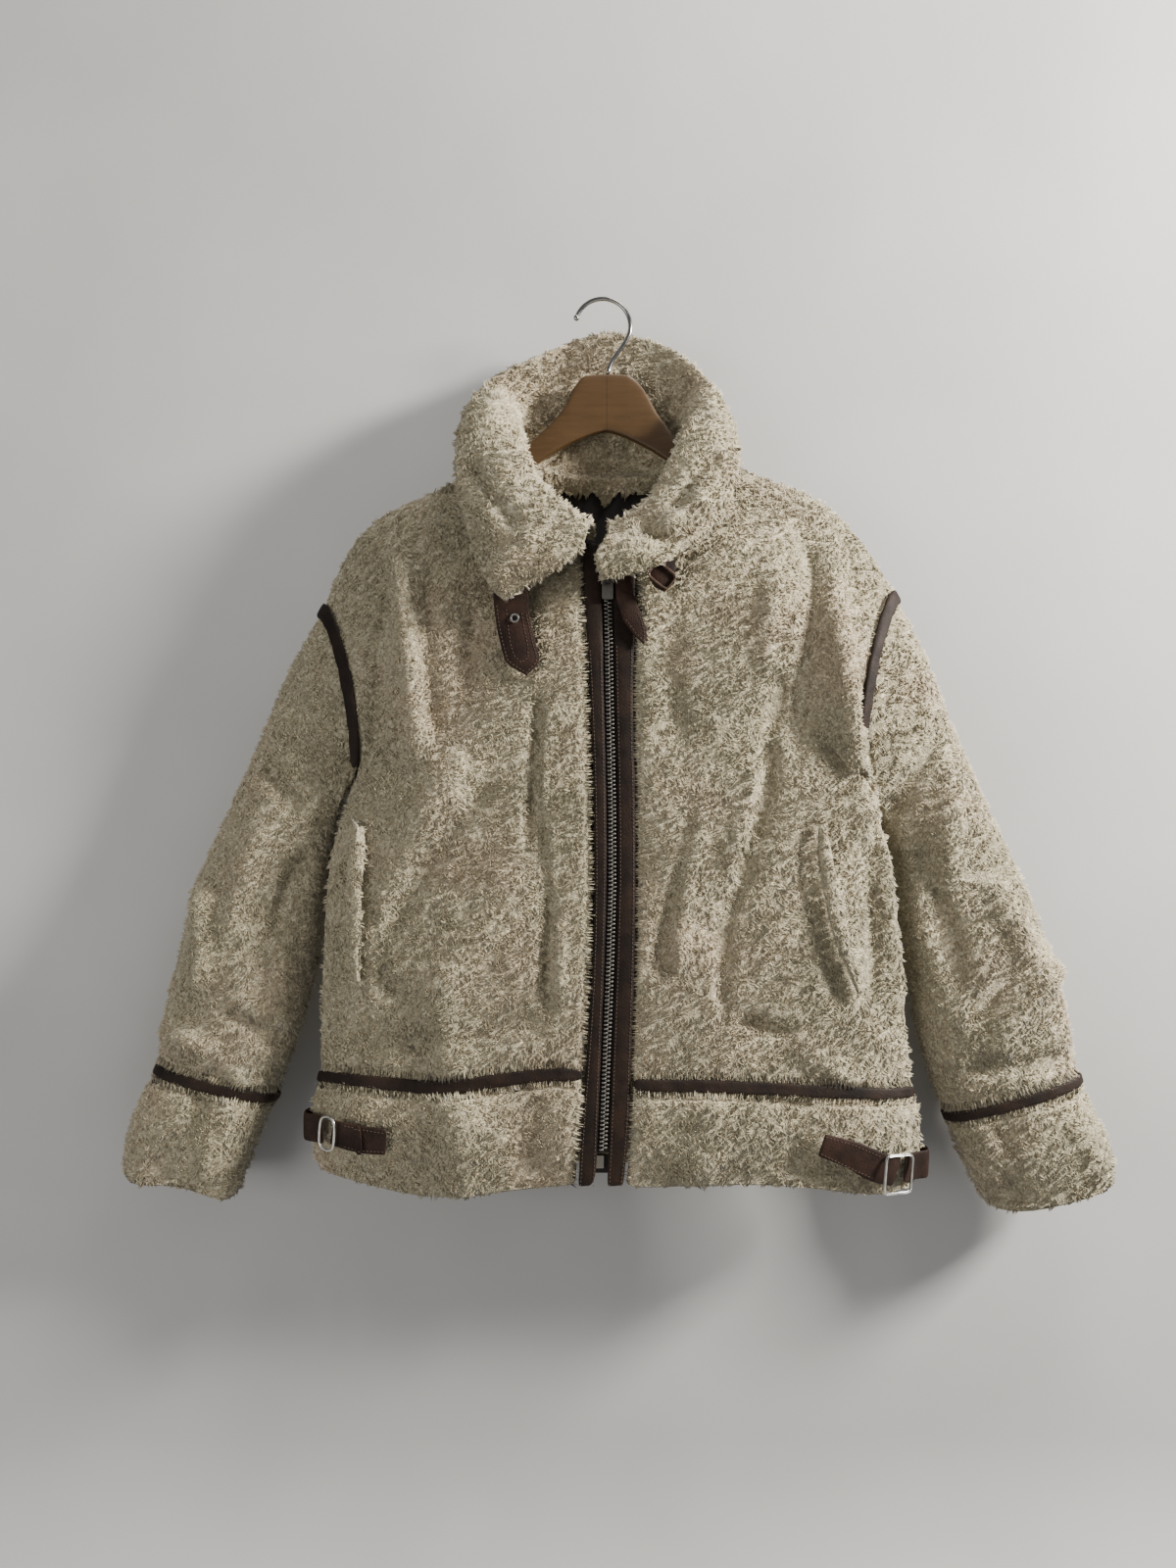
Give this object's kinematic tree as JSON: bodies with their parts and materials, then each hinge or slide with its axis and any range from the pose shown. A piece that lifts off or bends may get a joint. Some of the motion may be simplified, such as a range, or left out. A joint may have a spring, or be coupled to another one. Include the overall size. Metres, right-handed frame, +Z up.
{
  "type": "sheepskin flying jacket on a wooden hanger",
  "caption": "Cream sheepskin flying jacket with a large fleece collar, leather bindings, buckled straps and a centre front zip, on a wooden hanger.",
  "frame": {"origin": "inside top of the hanger's hook, where it rests on what holds it up", "axes": "+X to the viewer's right across the jacket, +Y from the front to the back, +Z up"},
  "size_m": [0.8991, 0.1192, 0.8194],
  "materials": {
    "fleece": "curly cream pile",
    "brown_leather": "dark brown grained leather",
    "dark_cloth": "dark woven tape",
    "steel": "polished nickel colour",
    "wood": "honey brown varnished wood"
  },
  "bodies": {
    "jacket": {"armhole_binding_left": "brown_leather", "armhole_binding_right": "brown_leather", "back": "fleece", "back_neck_facing": "dark_cloth", "collar": "fleece", "collar_buckle": "steel", "collar_buckle_strap": "brown_leather", "collar_strap_eyelet": "steel", "collar_strap_left": "brown_leather", "collar_strap_right": "brown_leather", "cuff_binding_left": "brown_leather", "cuff_binding_right": "brown_leather", "cuff_left": "fleece", "cuff_right": "fleece", "front_left": "fleece", "front_right": "fleece", "hanger": "wood", "hanger_hook": "steel", "hem_back": "fleece", "hem_binding_back": "brown_leather", "hem_binding_front_left": "brown_leather", "hem_binding_front_right": "brown_leather", "hem_buckle_left": "steel", "hem_buckle_right": "steel", "hem_front_left": "fleece", "hem_front_right": "fleece", "hem_keeper_left": "brown_leather", "hem_strap_left": "brown_leather", "hem_strap_right": "brown_leather", "hem_tab_left": "brown_leather", "hem_tab_right": "brown_leather", "placket_left": "brown_leather", "placket_right": "brown_leather", "pocket_welt_left": "fleece", "pocket_welt_right": "fleece", "sleeve_left": "fleece", "sleeve_right": "fleece", "zip_chain": "steel", "zip_slider": "steel", "zip_tape_left": "dark_cloth", "zip_tape_right": "dark_cloth"},
    "zip_pull": {"zip_pull_tab": "steel"}
  },
  "joints": [
    {"name": "zip_pull_swing", "type": "hinge", "parent": "jacket", "child": "zip_pull", "pos_m": [0.0036, -0.0435, -0.254], "axis": [-1, 0, 0], "range_deg": [0, 30]}
  ]
}
